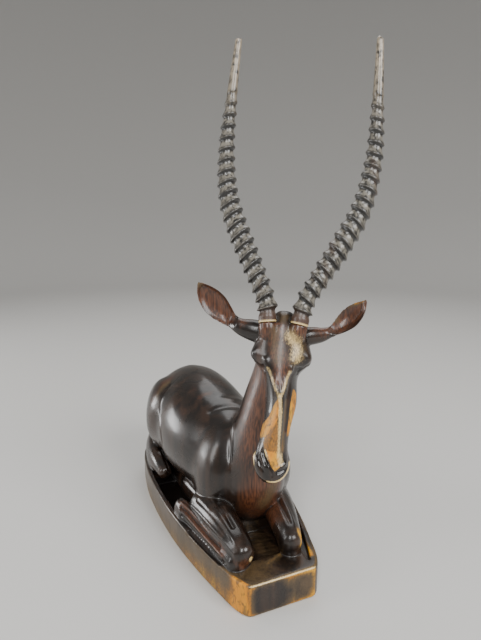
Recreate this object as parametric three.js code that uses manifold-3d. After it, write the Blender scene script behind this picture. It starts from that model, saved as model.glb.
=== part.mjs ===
// A carved gazelle that lies on a boat-shaped plinth with its head turned and its long ringed horns raised.
// Millimetres, +Z up. The plinth's underside is at Z = 0, its middle at the origin, and the animal faces -Y.
// The body and its plinth are one piece of wood. Each horn is a piece of its own, set on a carved stump.

import * as THREE from "three";
import { mergeVertices } from "three/addons/utils/BufferGeometryUtils.js";
import Module from "manifold-3d";

const wasm = await Module();
wasm.setup();

// Plinth
const plinthLength = 264;
const plinthWidth = 119;
const plinthHeight = 26;
const plinthFrontWidth = 60;
const plinthCorner = 12;
const plinthEdgeRound = 2;

// Carved top of the plinth: a sunk floor inside a rim, an apron before the knees, a pit beside the belly
const rimWidth = 4.5;
const recessDepth = 4;
const channelEnd = 8;
const apronLength = 24;
const apronFrom = -33;
const apronTo = 25;
const pitDepth = 13;
const pitFrom = -13;
const pitTo = 44;
const pitInnerWidth = 40;

// Wood left between the animal and the plinth: how far it stands above the floor and reaches down into it
const bedRise = 14;
const bedSink = 12;

// Head, turned to the animal's right, and where its poll is
const poll = new THREE.Vector3(14, -96, 206);
const headTurn = THREE.MathUtils.degToRad(31.5);
const headLean = THREE.MathUtils.degToRad(3.2);
const faceSlope = THREE.MathUtils.degToRad(17);
const headLength = 118;
const faceBend = 3;

// Ears
const earLengthRight = 58;
const earLengthLeft = 46;
const earRootSpacing = 43;
const earSetback = 15;
const earDrop = 13;
const earCup = 8;
const earWall = 2.6;
const earRaiseLeft = 1.15;
const earTwistLeft = THREE.MathUtils.degToRad(40);

// Horns and the stumps that carry them
const hornSpacing = 23;
const hornFoot = 13;
const hornLength = 205;
const hornSetback = 5;
const hornDrop = 4.5;
const hornGap = 0.3;
const hornRings = 21;
const hornRingedShare = 0.82;
const hornTip = 2.4;
const ringHeight = 1.5;
const stumpHeight = 11;
const stumpFlare = 0.8;
const stumpSink = 6;

// How finely the forms are faceted
const bodySides = 20;
const muscleSides = 14;
const legSides = 10;
const faceSides = 22;
const faceRings = 30;
const earRings = 13;
const hornSides = 10;
const stepsPerRing = 3;
const tipSteps = 7;

const carvedWood = new THREE.MeshStandardMaterial({ name: "carved_dark_wood", color: 0x3a2418, roughness: 0.35 });
const hornWood = new THREE.MeshStandardMaterial({ name: "black_horn_wood", color: 0x1c1a19, roughness: 0.3 });

// Joins rings of points into a closed skin, each end drawn in to its own middle
function skin(rings) {
  const sides = rings[0].length;
  const positions = [];
  const faces = [];
  const add = (point) => positions.push(point.x, point.y, point.z) / 3 - 1;
  const middle = (ring) => {
    const sum = new THREE.Vector3();
    ring.forEach((point) => sum.add(point));
    return sum.divideScalar(ring.length);
  };
  rings.forEach((ring) => ring.forEach(add));
  const start = add(middle(rings[0]));
  const end = add(middle(rings[rings.length - 1]));
  const lastRow = (rings.length - 1) * sides;
  for (let side = 0; side < sides; side += 1) {
    const next = (side + 1) % sides;
    faces.push(start, next, side);
    faces.push(end, lastRow + side, lastRow + next);
    for (let row = 0; row < lastRow; row += sides) {
      faces.push(row + side, row + next, row + sides + next);
      faces.push(row + side, row + sides + next, row + sides + side);
    }
  }
  const geometry = new THREE.BufferGeometry();
  geometry.setAttribute("position", new THREE.Float32BufferAttribute(positions, 3));
  geometry.setIndex(faces);
  return geometry;
}

// Rings along a curve. outline(place, angle) gives how far a point lies across, above and along from the curve.
function sweep(spine, places, sides, wide, outline) {
  const rings = places.map((place) => {
    const t = THREE.MathUtils.clamp(place.t, 0, 1);
    const along = spine.getTangent(t);
    const across = wide.clone().addScaledVector(along, -wide.dot(along)).normalize();
    const above = new THREE.Vector3().crossVectors(along, across);
    const middle = spine.getPoint(t);
    return Array.from({ length: sides }, (_, index) => {
      const [x, y, z] = outline(place, (index / sides) * 2 * Math.PI);
      return middle.clone().addScaledVector(across, x).addScaledVector(above, y).addScaledVector(along, z);
    });
  });
  return skin(rings);
}

// A rounded form along a curve, with domed ends. A station is [x, y, z, half width, half depth].
function limb(stations, { rings = 8, sides = legSides, domes = [1, 1], square = 2 }) {
  const spine = new THREE.CatmullRomCurve3(stations.map(([x, y, z]) => new THREE.Vector3(x, y, z)));
  const girth = new THREE.SplineCurve(stations.map(([, , , width, depth]) => new THREE.Vector2(width, depth)));
  const domeSteps = [0.42, 0.78];
  const straight = Array.from({ length: rings }, (_, step) => ({ t: step / (rings - 1), dome: 0 }));
  const before = domes[0] > 0 ? domeSteps.map((dome) => ({ t: 0, dome: -dome })).reverse() : [];
  const after = domes[1] > 0 ? domeSteps.map((dome) => ({ t: 1, dome })) : [];
  const outline = ({ t, dome }, angle) => {
    const half = girth.getPoint(t);
    const shrink = Math.cos((dome * Math.PI) / 2);
    const reach = Math.sin((dome * Math.PI) / 2) * Math.min(half.x, half.y) * domes[dome < 0 ? 0 : 1];
    const cosine = Math.cos(angle);
    const sine = Math.sin(angle);
    const corner = (Math.abs(cosine) ** square + Math.abs(sine) ** square) ** (-1 / square);
    return [half.x * shrink * corner * cosine, half.y * shrink * corner * sine, reach];
  };
  return sweep(spine, [...before, ...straight, ...after], sides, new THREE.Vector3(1, 0, 0), outline);
}

// A geometry as a solid that can be joined and cut
function solid(geometry) {
  const bare = geometry.clone();
  Object.keys(bare.attributes)
    .filter((name) => name !== "position")
    .forEach((name) => bare.deleteAttribute(name));
  const welded = mergeVertices(bare, 1e-4);
  const mesh = new wasm.Mesh({
    numProp: 3,
    vertProperties: new Float32Array(welded.attributes.position.array),
    triVerts: new Uint32Array(welded.index.array),
  });
  return new wasm.Manifold(mesh);
}

function geometryOf(manifold) {
  const mesh = manifold.getMesh();
  const geometry = new THREE.BufferGeometry();
  geometry.setAttribute("position", new THREE.Float32BufferAttribute(mesh.vertProperties, 3));
  geometry.setIndex(new THREE.Uint32BufferAttribute(mesh.triVerts, 1));
  geometry.computeVertexNormals();
  return geometry;
}

// The plinth's outline from above, drawn in all round by an inset
function plinthOutline(inset) {
  const half = plinthWidth / 2 - inset;
  const nose = plinthFrontWidth / 2 - inset;
  const front = -plinthLength / 2 + inset;
  const back = plinthLength / 2 - inset;
  const corner = [nose + plinthCorner * 0.6, front + plinthCorner * 1.7];
  const flank = [
    [half * 0.79, front + plinthLength * 0.22],
    [half * 0.93, front + plinthLength * 0.39],
    [half, front + plinthLength * 0.58],
    [half * 0.985, front + plinthLength * 0.75],
    [half * 0.84, back - plinthLength * 0.1],
    [half * 0.4, back - plinthLength * 0.012],
  ];
  const point = (side) => ([x, y]) => new THREE.Vector2(side * x, y);
  const shape = new THREE.Shape();
  shape.moveTo(-nose + plinthCorner * 0.5, front);
  shape.lineTo(nose - plinthCorner * 0.5, front);
  shape.quadraticCurveTo(nose + plinthCorner * 0.1, front, ...corner);
  shape.splineThru([...flank.map(point(1)), new THREE.Vector2(0, back)]);
  shape.splineThru([...flank.toReversed(), corner].map(point(-1)));
  shape.quadraticCurveTo(-nose - plinthCorner * 0.1, front, -nose + plinthCorner * 0.5, front);
  return shape;
}

function plinthSlab(inset, bottom, depth, edgeRound = 0) {
  const slab = new THREE.ExtrudeGeometry(plinthOutline(inset + edgeRound), {
    depth: depth - 2 * edgeRound,
    bevelEnabled: edgeRound > 0,
    bevelThickness: edgeRound,
    bevelSize: edgeRound,
    bevelSegments: 1,
    curveSegments: 3,
  });
  slab.translate(0, 0, bottom + edgeRound);
  return solid(slab);
}

function plinth() {
  const front = -plinthLength / 2;
  const above = 2 * plinthHeight;
  const block = (x0, x1, y0, y1) => {
    const box = new THREE.BoxGeometry(x1 - x0, y1 - y0, above);
    return solid(box.translate((x0 + x1) / 2, (y0 + y1) / 2, plinthHeight));
  };
  const floor = plinthSlab(rimWidth, plinthHeight - recessDepth, above)
    .subtract(block(apronFrom, apronTo, front, front + apronLength))
    .subtract(block(-plinthWidth, plinthWidth, front, front + channelEnd));
  const pits = plinthSlab(rimWidth + 1, plinthHeight - pitDepth, above)
    .intersect(block(-plinthWidth, plinthWidth, pitFrom, pitTo))
    .subtract(block(-pitInnerWidth / 2, pitInnerWidth / 2, pitFrom, pitTo));
  return plinthSlab(0, 0, plinthHeight, plinthEdgeRound).subtract(floor).subtract(pits);
}

// Barrel, from the rump to the breast
function torso() {
  return limb(
    [
      [-4, 104, 73, 28, 32],
      [-5, 84, 75, 38, 45],
      [-5, 58, 76, 42, 51],
      [-6, 26, 75, 44, 51],
      [-2, -4, 73, 42, 44],
      [3, -30, 69, 36, 42],
      [6, -54, 63, 28, 37],
    ],
    { rings: 11, sides: bodySides, domes: [0.7, 0.75] },
  );
}

function neck() {
  return limb(
    [
      [6.5, -52, 40, 25.5, 21],
      [7.5, -60, 68, 24.5, 28],
      [9.5, -63, 100, 19, 26],
      [13.5, -67, 130, 15.5, 22],
      [18, -73, 157, 14, 19],
      [21, -79, 182, 14, 17],
      [22, -82, 196, 12, 14],
    ],
    { rings: 10, sides: muscleSides, domes: [0.5, 0.5] },
  );
}

// Wood left uncut under the belly and the breast, which ties them to the plinth
function bed() {
  const middle = plinthHeight - recessDepth + (bedRise - bedSink) / 2;
  const depth = (bedRise + bedSink) / 2;
  return limb(
    [
      [-4, 96, middle, 20, depth],
      [-5, 66, middle, 29, depth],
      [-5, 20, middle, 29, depth],
      [2, -26, middle, 28, depth],
      [7, -62, middle, 20, depth],
    ],
    { rings: 5, domes: [0.7, 0.7], square: 3 },
  );
}

// Folded legs and their muscles. The side is +1 for the animal's left and -1 for its right.
function haunch(side) {
  const lower = side > 0 ? 7 : 0;
  return limb(
    [
      [side * 26 - 3, 99, 74 - lower, 15, 22],
      [side * 27 - 4, 81, 76 - lower, 20, 36 - lower],
      [side * 28 - 4, 60, 75 - lower, 24, 40 - lower],
      [side * 29 - 4, 44, 68, 17, 30],
    ],
    { rings: 6, sides: muscleSides, domes: [0.8, 0.75] },
  );
}

function hindShank(side) {
  return limb(
    [
      [side * 38, 102, 37, 9, 19],
      [side * 45, 84, 35, 9, 16],
      [side * 49, 64, 33, 8, 13.5],
      [side * 48, 46, 34, 7.5, 9.5],
      [side * 46, 33, 32, 7, 7],
    ],
    { rings: 5, domes: [1, 0.8] },
  );
}

function shoulder(side) {
  const middle = 6;
  return limb(
    [
      [middle + side * 13, -33, 97, 13, 20],
      [middle + side * 18, -37, 83, 17.5, 25.5],
      [middle + side * 24, -40, 63, 18, 26.5],
      [middle + side * 28, -37, 44, 14, 19],
    ],
    { rings: 6, sides: muscleSides, domes: [1, 0.7] },
  );
}

// A point a share of the way from one to the other, lifted a little
const between = (from, to, share, lift = 0) => [
  THREE.MathUtils.lerp(from[0], to[0], share),
  THREE.MathUtils.lerp(from[1], to[1], share),
  THREE.MathUtils.lerp(from[2], to[2], share) + lift,
];

const lowered = ([x, y, z], drop) => [x, y, z - drop];

const knees = { "-1": [-23, -109, 36], 1: [16, -110, 36] };

function forearm(side) {
  const knee = knees[side];
  const elbow = side > 0 ? [31, -46, 38] : [-29, -42, 39];
  return limb(
    [
      [...elbow, 14, 13],
      [...between(elbow, knee, 0.45, 3), 13, 13],
      [...between(elbow, knee, 0.85, 2), 10.5, 11],
      [...lowered(knee, 1.5), 9, 11],
    ],
    { rings: 6, domes: [0.6, 0.85] },
  );
}

function cannon(side) {
  const knee = [knees[side][0] - (side > 0 ? -1.5 : 4), knees[side][1] + 2, 28.5];
  const hoof = side > 0 ? [44, -34, 28] : [-47, -27, 29];
  return limb(
    [
      [...knee, 8.5, 10],
      [...between(knee, hoof, 0.3), 6.5, 9.5],
      [...between(knee, hoof, 0.75), 5.5, 9],
      [...between(knee, hoof, 0.88), 7, 10],
      [...hoof, 6, 9],
    ],
    { rings: 6, domes: [1, 0.8] },
  );
}

function tail() {
  return limb(
    [
      [-3, 106, 104, 7, 5],
      [-3, 117, 88, 6, 5],
      [-3, 119, 66, 5, 4],
      [-3, 117, 50, 3.5, 3],
    ],
    { rings: 5, sides: 8 },
  );
}

// Head frame: +X to the animal's left and -Y the way it looks, with the poll at its origin
const headPlace = new THREE.Matrix4()
  .makeTranslation(poll)
  .multiply(new THREE.Matrix4().makeRotationZ(-headTurn))
  .multiply(new THREE.Matrix4().makeRotationY(headLean));
const facePlace = headPlace.clone().multiply(new THREE.Matrix4().makeRotationX(-faceSlope));

// A smooth hump of height 1 that has faded at about two widths
const hump = (offset, width) => Math.exp(-((offset / width) ** 2));

// Skull, from the crown to the chin.
// A station is [share of the length, setback, half width, half depth, how much the cheeks outreach the nose].
function skull() {
  const stations = [
    [-0.065, 17.5, 5, 6, 0],
    [-0.03, 16.8, 8.5, 10.5, 0],
    [0.015, 16.6, 11.5, 13.4, 0],
    [0.055, 16.7, 14.8, 15.5, 0],
    [0.1, 17.4, 18.2, 17.2, 0],
    [0.16, 18.6, 20.8, 18.6, 0],
    [0.225, 19, 21.6, 19.2, 0],
    [0.275, 19, 19, 19.2, 0.08],
    [0.325, 18.5, 13.7, 18.6, 0.25],
    [0.38, 17.4, 11.4, 17.6, 0.38],
    [0.5, 14.8, 10.7, 14.8, 0.42],
    [0.62, 13.1, 10, 13.1, 0.28],
    [0.73, 12.2, 10.4, 12.2, 0.12],
    [0.8, 11.9, 11.3, 11.9, 0.04],
    [0.86, 11.6, 12.7, 11.4, 0],
    [0.91, 11.2, 12.1, 10.4, 0],
    [0.96, 10.8, 8.8, 8, 0],
    [0.99, 10.5, 4.6, 4.6, 0],
  ];
  const track = (column) => new THREE.SplineCurve(stations.map((row) => new THREE.Vector2(row[0], row[column])));
  const [setback, width, depth, cheek] = [1, 2, 3, 4].map(track);
  const rings = Array.from({ length: faceRings }, (_, step) => {
    const t = step / (faceRings - 1);
    const down = setback.getPoint(t).x;
    return Array.from({ length: faceSides }, (__, index) => {
      const angle = (index / faceSides) * 2 * Math.PI;
      const cosine = Math.cos(angle);
      const sine = Math.sin(angle);
      const front = Math.max(0, -sine);
      const aside = Math.abs(cosine);
      const eye = 2 * hump(down - 0.225, 0.045) * hump(aside - 0.92, 0.12);
      const brow = 1.6 * hump(down - 0.4, 0.13) * hump(aside - 0.45, 0.22) * front;
      const bridge = 1.2 * hump(down - 0.62, 0.2) * hump(cosine, 0.4) * front;
      const nostril = 1.3 * hump(down - 0.865, 0.04) * hump(aside - 0.55, 0.2) * front;
      const flatness = 2.2 * hump(down - 0.13, 0.12) * front * front;
      const across = cosine * (width.getPoint(t).y * (1 + cheek.getPoint(t).y * sine) + eye);
      const out = depth.getPoint(t).y + brow + bridge - nostril - flatness;
      return new THREE.Vector3(
        across + faceBend * hump(down - 0.52, 0.16),
        setback.getPoint(t).y + sine * out,
        -down * headLength,
      );
    });
  });
  return skin(rings.reverse()).applyMatrix4(facePlace);
}

// Ear: a stalk that opens into a hollow leaf. A station is [reach, rise, half width], in shares of the length.
function ear(side) {
  const length = side > 0 ? earLengthLeft : earLengthRight;
  const twist = side > 0 ? earTwistLeft : 0;
  const raise = side > 0 ? earRaiseLeft : 1;
  const stations = [
    [-0.18, -0.05, 0.11],
    [0.04, -0.01, 0.11],
    [0.17, 0.015, 0.1],
    [0.3, 0.075, 0.092],
    [0.42, 0.165, 0.138],
    [0.55, 0.285, 0.172],
    [0.68, 0.425, 0.13],
    [0.8, 0.58, 0.014],
  ];
  const root = new THREE.Vector3((side * earRootSpacing) / 2, earSetback, -earDrop);
  const spine = new THREE.CatmullRomCurve3(
    stations.map(([out, up]) => new THREE.Vector3(side * out * length, 0, raise * up * length).add(root)),
  );
  const half = new THREE.SplineCurve(stations.map(([out, , width]) => new THREE.Vector2(out, width * length)));
  const wide = new THREE.Vector3(-side * Math.cos(twist), Math.sin(twist), Math.cos(twist));
  const places = Array.from({ length: earRings }, (_, step) => ({ t: step / (earRings - 1) }));
  const outline = ({ t }, angle) => {
    const width = half.getPoint(t).y;
    const open = THREE.MathUtils.smoothstep(t, 0.36, 0.48);
    const outer = THREE.MathUtils.lerp(width, Math.min(width, earCup), open);
    const hollow = THREE.MathUtils.lerp(-outer, Math.max(outer - earWall, 0), open);
    const rise = -Math.sin(angle) * side;
    const lift = rise > 0 ? outer * rise : -hollow * rise;
    return [width * Math.cos(angle), -side * lift, 0];
  };
  return sweep(spine, places, legSides, wide, outline).applyMatrix4(headPlace);
}

// Horn's middle line: reach to the side, sweep back and height, in shares of the horn's length
function hornSpine(side) {
  const shares = [
    [0, 0, -hornDrop / hornLength],
    [0.014, 0.022, 0.056],
    [0.064, 0.055, 0.154],
    [0.121, 0.09, 0.256],
    [0.184, 0.128, 0.397],
    [0.21, 0.165, 0.575],
    [0.202, 0.187, 0.787],
    [0.191, 0.2, 0.957],
  ];
  return new THREE.CatmullRomCurve3(
    shares.map(
      ([out, back, up]) =>
        new THREE.Vector3(side * (hornSpacing / 2 + out * hornLength), hornSetback + back * hornLength, up * hornLength),
    ),
  );
}

// How thick the horn is over its rings, as shares of its foot, from the foot to the tip
const hornTaper = new THREE.SplineCurve(
  [1, 1.02, 1.16, 1.18, 1.04, 0.88, 0.7, 0.53, (2 * hornTip) / hornFoot].map(
    (share, index) => new THREE.Vector2(index, (share * hornFoot) / 2),
  ),
);

function horn(side) {
  const spine = hornSpine(side);
  const ringed = hornRings * stepsPerRing;
  const crests = [-0.5, 0.25, 0.5];
  const places = [];
  for (let step = 0; step < ringed; step += 1) {
    const share = (step / ringed) * hornRingedShare;
    places.push({ share, crest: step === 0 ? 0 : crests[step % stepsPerRing] * ringHeight * (1 - 0.5 * share) });
  }
  for (let step = 0; step <= tipSteps; step += 1) {
    places.push({ share: hornRingedShare + (step / tipSteps) * (1 - hornRingedShare), crest: 0 });
  }
  places.forEach((place) => {
    place.t = spine.getUtoTmapping(place.share);
  });
  places[places.length - 1].crest = -0.6 * hornTip;
  const outline = ({ share, crest }, angle) => {
    const radius = hornTaper.getPoint(share).y;
    const knob = radius + crest - (crest > 0 ? 0 : 0.2 * ringHeight);
    const slant = 0.22 * THREE.MathUtils.smoothstep(share, 0, 0.08) * radius;
    return [knob * Math.cos(angle), knob * Math.sin(angle), (share === 0 ? hornGap : 0) - side * slant * Math.cos(angle)];
  };
  return sweep(spine, places, hornSides, new THREE.Vector3(1, 0, 0), outline).applyMatrix4(headPlace);
}

// Stump that carries a horn. Its foot bends back into the skull and its flat top lies square to the horn.
function stump(side) {
  const spine = hornSpine(side);
  const along = spine.getTangent(0);
  const stations = [1, 0.5, 0.25, 0].map((share) => {
    const middle = spine.getPoint(0).addScaledVector(along, -share * stumpHeight);
    const half = hornFoot / 2 + stumpFlare * share;
    return [middle.x, middle.y + stumpSink * share ** 3, middle.z, half, half];
  });
  return limb(stations, { rings: 4, domes: [0, 0] }).applyMatrix4(headPlace);
}

// The room that a horn's foot takes up, a little wider all round
function hornRoom(side) {
  const spine = hornSpine(side);
  const stations = [0, 0.05, 0.1, 0.15].map((share) => {
    const middle = spine.getPointAt(share);
    const half = hornTaper.getPoint(share).y + ringHeight + hornGap;
    return [middle.x, middle.y, middle.z, half, half];
  });
  return limb(stations, { rings: 5, domes: [0, 0] }).applyMatrix4(headPlace);
}

function gazelle() {
  const sides = [-1, 1];
  const paired = [haunch, hindShank, shoulder, forearm, cannon, ear];
  const masses = [torso(), bed(), neck(), tail(), skull(), ...sides.flatMap((side) => paired.map((mass) => mass(side)))];
  const carved = masses.reduce((whole, mass) => whole.add(solid(mass)), plinth());
  const cleared = sides.reduce((whole, side) => whole.subtract(solid(hornRoom(side))), carved);
  return sides.reduce((whole, side) => whole.add(solid(stump(side))), cleared);
}

const group = new THREE.Group();

function addMesh(name, whole, material) {
  const mesh = new THREE.Mesh(geometryOf(whole), material);
  mesh.name = name;
  group.add(mesh);
}

addMesh("gazelle_with_plinth", gazelle(), carvedWood);
addMesh("horn_right", solid(horn(-1)), hornWood);
addMesh("horn_left", solid(horn(1)), hornWood);

export default group;
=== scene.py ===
import math

import bpy
import numpy as np
from mathutils import Matrix, Vector


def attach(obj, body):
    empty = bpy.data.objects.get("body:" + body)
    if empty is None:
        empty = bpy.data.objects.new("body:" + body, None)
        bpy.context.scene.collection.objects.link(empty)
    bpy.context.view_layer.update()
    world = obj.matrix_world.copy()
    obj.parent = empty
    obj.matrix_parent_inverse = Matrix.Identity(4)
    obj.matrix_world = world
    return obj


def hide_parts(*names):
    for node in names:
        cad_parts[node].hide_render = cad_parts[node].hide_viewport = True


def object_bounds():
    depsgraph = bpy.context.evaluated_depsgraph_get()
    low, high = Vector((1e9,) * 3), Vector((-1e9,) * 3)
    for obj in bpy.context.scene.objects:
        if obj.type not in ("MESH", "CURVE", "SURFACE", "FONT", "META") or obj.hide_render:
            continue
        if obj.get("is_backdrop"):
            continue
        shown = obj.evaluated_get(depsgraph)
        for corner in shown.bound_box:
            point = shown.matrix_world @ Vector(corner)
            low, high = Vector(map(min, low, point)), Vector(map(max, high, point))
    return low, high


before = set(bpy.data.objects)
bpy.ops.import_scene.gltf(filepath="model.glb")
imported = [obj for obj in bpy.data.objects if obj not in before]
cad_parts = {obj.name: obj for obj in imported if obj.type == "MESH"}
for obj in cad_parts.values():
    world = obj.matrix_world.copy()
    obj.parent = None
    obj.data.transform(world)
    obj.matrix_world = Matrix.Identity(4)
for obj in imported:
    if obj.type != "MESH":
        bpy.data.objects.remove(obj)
cad_low, cad_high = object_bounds()


# The gazelle and its plinth
# They are one block of dark heartwood with pale sapwood on its outer sides. The block is roughed out as
# rounded masses that run into each other, cut with the gouge, rubbed smooth and polished.

def spline(rows, shares):
    """A smooth curve through the rows, at shares of the way from the first row to the last."""
    rows = np.asarray(rows, float)
    rows = np.vstack([2 * rows[0] - rows[1], rows, 2 * rows[-1] - rows[-2]])
    place = np.clip(shares, 0, 1) * (len(rows) - 3)
    first = np.minimum(place.astype(int), len(rows) - 4)
    t = (place - first)[:, None]
    a, b, c, d = (rows[first + step] for step in range(4))
    return 0.5 * (2 * b + (c - a) * t + (2 * a - 5 * b + 4 * c - d) * t**2 + (3 * b - a - 3 * c + d) * t**3)


def ball(name, segments=48, rings=64):
    """Adds a ball, and gives each of its points' latitude from -1 to 1 and its angle round the axis."""
    bpy.ops.mesh.primitive_uv_sphere_add(segments=segments, ring_count=rings, radius=1)
    piece = bpy.context.object
    piece.name = piece.data.name = name
    x, y, z = points_of(piece).T * 1000
    return piece, np.arcsin(np.clip(z / 1000, -1, 1)) * 2 / np.pi, np.arctan2(y, x)


def points_of(piece):
    """The piece's points, one row each, in millimetres when the piece is at its real size."""
    flat = np.empty(len(piece.data.vertices) * 3)
    piece.data.vertices.foreach_get("co", flat)
    return flat.reshape(-1, 3)


def placed(points, place):
    """Points given in the frame of the matrix place, as points of the model."""
    return points @ np.array(place.to_3x3()).T + np.array(place.translation)


def seen_from(points, place):
    """Points of the model, in the frame of the matrix place."""
    return (points - np.array(place.translation)) @ np.array(place.to_3x3())


def move_points(piece, points, place=None):
    """Puts the piece's points at the given places in millimetres, seen in the frame of the matrix place."""
    if place is not None:
        points = placed(points, place)
    piece.data.vertices.foreach_set("co", (points / 1000).ravel())
    piece.data.update()


def along_curve(spine, share, wide):
    """Middle of the curve, and the directions across, above and along it, at each share."""
    middle = spline(spine, share)
    along = spline(spine, share + 0.01) - spline(spine, share - 0.01)
    along /= np.linalg.norm(along, axis=1)[:, None]
    across = wide - along * (along @ wide)[:, None]
    across /= np.linalg.norm(across, axis=1)[:, None]
    return middle, across, np.cross(along, across), along


def limb(name, stations, domes=(1, 1), place=None, square=2):
    """A ball drawn out along stations of x, y, z, half width and half depth, with domed ends."""
    piece, latitude, angle = ball(name)
    trunk = 0.6  # the part of the ball that is drawn out, the rest becoming the domes
    share = np.clip((latitude / trunk + 1) / 2, 0, 1)
    dome = np.clip((np.abs(latitude) - trunk) / (1 - trunk), 0, 1) * np.pi / 2
    stations = np.array(stations, float)
    middle, across, above, along = along_curve(stations[:, :3], share, np.array([1.0, 0, 0]))
    widths = spline(stations[:, 3:], share)
    half = widths * np.cos(dome)[:, None]
    reach = np.sin(dome) * widths.min(axis=1) * np.where(latitude < 0, -domes[0], domes[1])
    corner = (np.abs(np.cos(angle)) ** square + np.abs(np.sin(angle)) ** square) ** (-1 / square)
    round_x, round_y = half[:, 0] * corner * np.cos(angle), half[:, 1] * corner * np.sin(angle)
    points = middle + across * round_x[:, None] + above * round_y[:, None] + along * reach[:, None]
    move_points(piece, points, place)
    return piece


def hump(offset, width):
    """A smooth hump of height 1 that has faded at about two widths."""
    return np.exp(-((offset / width) ** 2))


bpy.ops.object.select_all(action="DESELECT")
masses = [
    limb("barrel", [
        [-4, 104, 73, 28, 32],
        [-5, 84, 75, 38, 45],
        [-5, 58, 76, 42, 51],
        [-6, 26, 75, 44, 51],
        [-2, -4, 73, 42, 44],
        [3, -30, 69, 36, 42],
        [6, -54, 63, 28, 37],
    ], domes=(0.7, 0.75)),
    limb("bed", [
        [-4, 96, 23, 20, 13],
        [-5, 66, 23, 29, 13],
        [-5, 20, 23, 29, 13],
        [2, -26, 23, 28, 13],
        [7, -62, 23, 20, 13],
    ], domes=(0.7, 0.7), square=3),
    limb("neck", [
        [6.5, -52, 40, 25.5, 21],
        [7.5, -60, 68, 24.5, 28],
        [9.5, -63, 100, 19, 26],
        [13.5, -67, 130, 15.5, 22],
        [18, -73, 157, 14, 19],
        [21, -79, 182, 14, 17],
        [22, -82, 196, 12, 14],
    ], domes=(0.5, 0.5)),
    limb("tail", [
        [-3, 106, 104, 7, 5],
        [-3, 117, 88, 6, 5],
        [-3, 119, 66, 5, 4],
        [-3, 117, 50, 3.5, 3],
    ]),
]
for side in (-1, 1):
    lower = 7 if side > 0 else 0
    knee = np.array([16, -110, 36] if side > 0 else [-23, -109, 36], float)
    elbow = np.array([31, -46, 38] if side > 0 else [-29, -42, 39], float)
    wrist = knee + [1.5 if side > 0 else -4, 2, -7.5]
    hoof = np.array([44, -34, 28] if side > 0 else [-47, -27, 29], float)
    rise = np.array([0, 0, 1.0])
    masses += [
        limb("haunch", [
            [side * 26 - 3, 99, 74 - lower, 15, 22],
            [side * 27 - 4, 81, 76 - lower, 20, 36 - lower],
            [side * 28 - 4, 60, 75 - lower, 24, 40 - lower],
            [side * 29 - 4, 44, 68, 17, 30],
        ], domes=(0.8, 0.75)),
        limb("hind_shank", [
            [side * 38, 102, 37, 9, 19],
            [side * 45, 84, 35, 9, 16],
            [side * 49, 64, 33, 8, 13.5],
            [side * 48, 46, 34, 7.5, 9.5],
            [side * 46, 33, 32, 7, 7],
        ], domes=(1, 0.8)),
        limb("shoulder", [
            [6 + side * 13, -33, 97, 13, 20],
            [6 + side * 18, -37, 83, 17.5, 25.5],
            [6 + side * 24, -40, 63, 18, 26.5],
            [6 + side * 28, -37, 44, 14, 19],
        ], domes=(1, 0.7)),
        limb("forearm", [
            [*elbow, 14, 13],
            [*(elbow + (knee - elbow) * 0.45 + 3 * rise), 13, 13],
            [*(elbow + (knee - elbow) * 0.85 + 2 * rise), 10.5, 11],
            [*(knee - 1.5 * rise), 9, 11],
        ], domes=(0.6, 0.85)),
        limb("cannon", [
            [*wrist, 8.5, 10],
            [*(wrist + (hoof - wrist) * 0.3), 6.5, 9.5],
            [*(wrist + (hoof - wrist) * 0.75), 5.5, 9],
            [*(wrist + (hoof - wrist) * 0.88), 7, 10],
            [*hoof, 6, 9],
        ], domes=(1, 0.8)),
    ]


def apply_modifier(piece, kind, **values):
    """Adds a modifier with these values to the piece and applies it."""
    bpy.context.view_layer.objects.active = piece
    modifier = piece.modifiers.new(kind.lower(), kind)
    for name, value in values.items():
        setattr(modifier, name, value)
    bpy.ops.object.modifier_apply(modifier=modifier.name)


def ramp(values, low, high):
    """From 0 at low to 1 at high, smoothly."""
    t = np.clip((values - low) / (high - low), 0, 1)
    return t * t * (3 - 2 * t)


def soften(piece, iterations, weights=None):
    """Smooths the piece, more where the weights are higher."""
    if weights is not None:
        group = piece.vertex_groups.new(name="soft")
        steps = np.round(np.clip(weights, 0, 1) * 16).astype(int)
        for step in range(1, 17):
            group.add(np.flatnonzero(steps == step).tolist(), step / 16, "REPLACE")
    group_name = "" if weights is None else "soft"
    apply_modifier(piece, "SMOOTH", factor=0.5, iterations=iterations, vertex_group=group_name)
    piece.vertex_groups.clear()


def facing_of(piece):
    """The direction in which the skin faces at each point."""
    flat = np.empty(len(piece.data.vertices) * 3)
    piece.data.vertex_normals.foreach_get("vector", flat)
    return flat.reshape(-1, 3)


def fuse(pieces, name, cell):
    """Joins the pieces and draws one skin round them, of cells of this size in metres."""
    bpy.ops.object.select_all(action="DESELECT")
    for piece in pieces:
        piece.select_set(True)
    whole = pieces[0]
    bpy.context.view_layer.objects.active = whole
    bpy.ops.object.join()
    whole.name = whole.data.name = name
    whole.data.remesh_voxel_size = cell
    whole.data.remesh_voxel_adaptivity = 0
    bpy.ops.object.voxel_remesh()
    return whole


def at_withers(y, z):
    """From 0 to 1 at the top of the shoulders."""
    return hump(y + 22, 26) * ramp(-z, -118, -100)


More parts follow.
